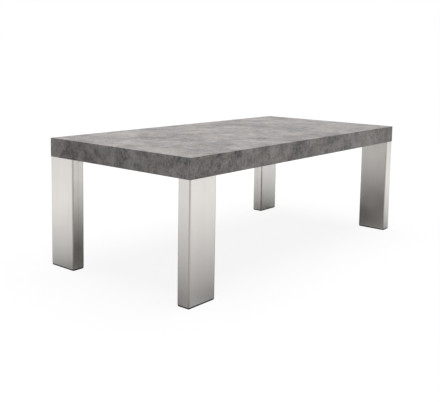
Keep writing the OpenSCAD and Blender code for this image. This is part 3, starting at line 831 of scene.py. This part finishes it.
@dataclass
class Carriage:
    """The slide bars and what they carry: crossbars, the folded leaf and the gear."""

    def build(self) -> None:
        """Builds every piece of the carriage, the pinion and the lock levers."""
        for node, finish, easing in (
                ("front_slide_bar", BEECH, 0.8 * MM), ("rear_slide_bar", BEECH, 0.8 * MM),
                ("carriage_hangers", POWDER, 0.3 * MM),
                ("crossbars", ALUMINIUM_ACROSS, 0.3 * MM), ("leaf_lower_panel", LAMINATE, 0.5 * MM),
                ("leaf_upper_panel", LAMINATE, 0.5 * MM), ("leaf_hinges", BRASS, 0.3 * MM),
                ("leaf_bumpers", RUBBER, 0.4 * MM), ("leaf_felts", FELT, 0.2 * MM),
                ("leaf_dowel_pins", BRASS, 0.8 * MM), ("leaf_pin_bushes", NYLON, 0.3 * MM),
                ("rack_guide", POWDER, 0.3 * MM), ("pinion_axle", ZINC, 0.3 * MM)):
            FinishedNode(node, finish, Body.CARRIAGE, easing).build()
        FastenerSet("hanger_screws", Body.CARRIAGE).build()
        FinishedNode("sync_pinion", NYLON, Body.PINION, 0.2 * MM).build()
        LockLever("front", Body.FRONT_LEVER).build()
        LockLever("rear", Body.REAR_LEVER).build()


# ---------------------------------------------------------------- studio


@dataclass(frozen=True)
class Studio:
    """A pale floor and soft light from large panels."""

    floor_size: float = 60.0
    floor_drop: float = 0.5 * MM
    floor_white: float = 0.12
    floor_glow: float = 0.9
    bounce_white: float = 0.6
    bounce_glow: float = 0.9
    painted_shadow_near: float = 1.0
    painted_shadow_far: float = 3.0
    painted_shadow_oval: Triple = (0.78, 1.3, 1.0)
    bounce_dim: float = 0.34
    shadow_reach: float = 1.6
    white_reach: float = 3.2
    background: float = 1.0
    fill: float = 0.05
    overhead: float = 304.0
    front: float = 17.0
    overhead_at: Triple = (0.0, 0.0, 5.0)
    overhead_size: float = 5.0
    front_at: Triple = (4.4, -4.6, 2.2)
    front_size: float = 2.5
    front_aim: Triple = (0.0, 0.0, 0.5)

    def floor(self) -> None:
        """A wide pale floor: near white where the camera sees it, and with a painted shadow in its glow
        round the table, which the steel and the slab's edges pick up.
        """
        mesh = bmesh.new()
        bmesh.ops.create_grid(mesh, x_segments=1, y_segments=1, size=self.floor_size / 2)
        bmesh.ops.translate(mesh, verts=mesh.verts[:], vec=(0, 0, -self.floor_drop))
        data = bpy.data.meshes.new("studio_floor")
        mesh.to_mesh(data)
        mesh.free()
        graph = Graph("studio_floor")
        reach = graph.length(graph.place())
        oval = graph.length(graph.place(self.painted_shadow_oval))
        # painted shadow: for reflections and light, the glow is nought inside an oval round the table and
        # rises outward
        glow = graph.level(oval, self.painted_shadow_near, self.painted_shadow_far, 0.0, self.bounce_glow)
        # for the camera, the glow is 0.9 near the table and 1 far off, which is painted light to lift the
        # far floor where the lamps fall off
        pale = graph.level(reach, self.shadow_reach, self.white_reach, self.floor_glow, 1.0)
        seen = graph.ray("Is Camera Ray")
        white = graph.mix(seen, (self.bounce_white,) * 3, (self.floor_white,) * 3)
        lit = graph.ray("Is Diffuse Ray")
        glow = glow * (1 - seen) * (1 - lit * self.bounce_dim) + seen * pale
        graph.set(Base_Color=white, Roughness=0.9, Specular_IOR_Level=0.0, Emission_Strength=1.0,
                  Emission_Color=graph.shade((1.0, 1.0, 1.0), glow))
        data.materials.append(graph.material)
        floor = bpy.data.objects.new("studio_floor", data)
        bpy.context.scene.collection.objects.link(floor)

    def sky(self) -> None:
        """White all round for what is seen and reflected, and dim for what it lights."""
        world = bpy.data.worlds.new("studio")
        bpy.context.scene.world = world
        world.use_nodes = True
        tree = world.node_tree
        tree.nodes.clear()
        path = tree.nodes.new("ShaderNodeLightPath")
        seen, lit, mix, out = (tree.nodes.new(k) for k in (
            "ShaderNodeBackground", "ShaderNodeBackground", "ShaderNodeMixShader", "ShaderNodeOutputWorld"))
        seen.inputs["Strength"].default_value = self.background
        lit.inputs["Strength"].default_value = self.fill
        for background in (seen, lit):
            background.inputs["Color"].default_value = (1.0, 1.0, 1.0, 1.0)
        tree.links.new(path.outputs["Is Diffuse Ray"], mix.inputs[0])
        tree.links.new(seen.outputs[0], mix.inputs[1])
        tree.links.new(lit.outputs[0], mix.inputs[2])
        tree.links.new(mix.outputs[0], out.inputs["Surface"])

    def panel(self, name: str, place: Sequence[float], target: Sequence[float], size: float,
              power: float) -> None:
        """A square soft light at a place, turned to a target."""
        data = bpy.data.lights.new(name, "AREA")
        data.shape = "SQUARE"
        data.size = size
        data.energy = power
        light = bpy.data.objects.new(name, data)
        bpy.context.scene.collection.objects.link(light)
        light.location = place
        light.rotation_euler = (Vector(target) - Vector(place)).to_track_quat("-Z", "Y").to_euler()

    def build(self) -> None:
        """Sets the floor, the surroundings and the lights."""
        self.floor()
        self.sky()
        self.panel("overhead_panel", self.overhead_at, (0, 0, 0), self.overhead_size, self.overhead)
        self.panel("front_panel", self.front_at, self.front_aim, self.front_size, self.front)


@dataclass(frozen=True)
class View:
    """The camera: a raised three-quarter view past the near left corner.

    Its lens and sensor are in mm, and its shift is a share of the frame's width.
    """

    place: Triple = (-3.5295, -2.7342, 1.2554)
    heading: float = 0.6893
    dip: float = 0.1090
    roll: float = 0.0165
    lens: float = 55.879364
    shift: float = -0.161363636
    sensor: float = 36.0

    def build(self) -> bpy.types.Object:
        """Makes the camera and hands it to the scene."""
        ahead = Vector((math.cos(self.heading) * math.cos(self.dip),
                        math.sin(self.heading) * math.cos(self.dip), -math.sin(self.dip)))
        right = Vector((math.sin(self.heading), -math.cos(self.heading), 0.0))
        up = right.cross(ahead)
        right_rolled = right * math.cos(self.roll) + up * math.sin(self.roll)
        up_rolled = up * math.cos(self.roll) - right * math.sin(self.roll)
        turn = Matrix((right_rolled, up_rolled, -ahead)).transposed()
        data = bpy.data.cameras.new("camera")
        data.sensor_width = self.sensor
        data.sensor_fit = "HORIZONTAL"
        data.lens = self.lens
        data.shift_y = self.shift
        data.clip_end = 200.0
        camera = bpy.data.objects.new("camera", data)
        bpy.context.scene.collection.objects.link(camera)
        camera.matrix_world = Matrix.Translation(self.place) @ turn.to_4x4()
        bpy.context.scene.camera = camera
        return camera


def main() -> None:
    """Builds the camera, the studio and the table."""
    View().build()
    Studio().build()
    bpy.context.scene.view_settings.view_transform = "Standard"
    for side in Side:
        HalfTable(side).build()
    Carriage().build()


if __name__ == "__main__":
    main()
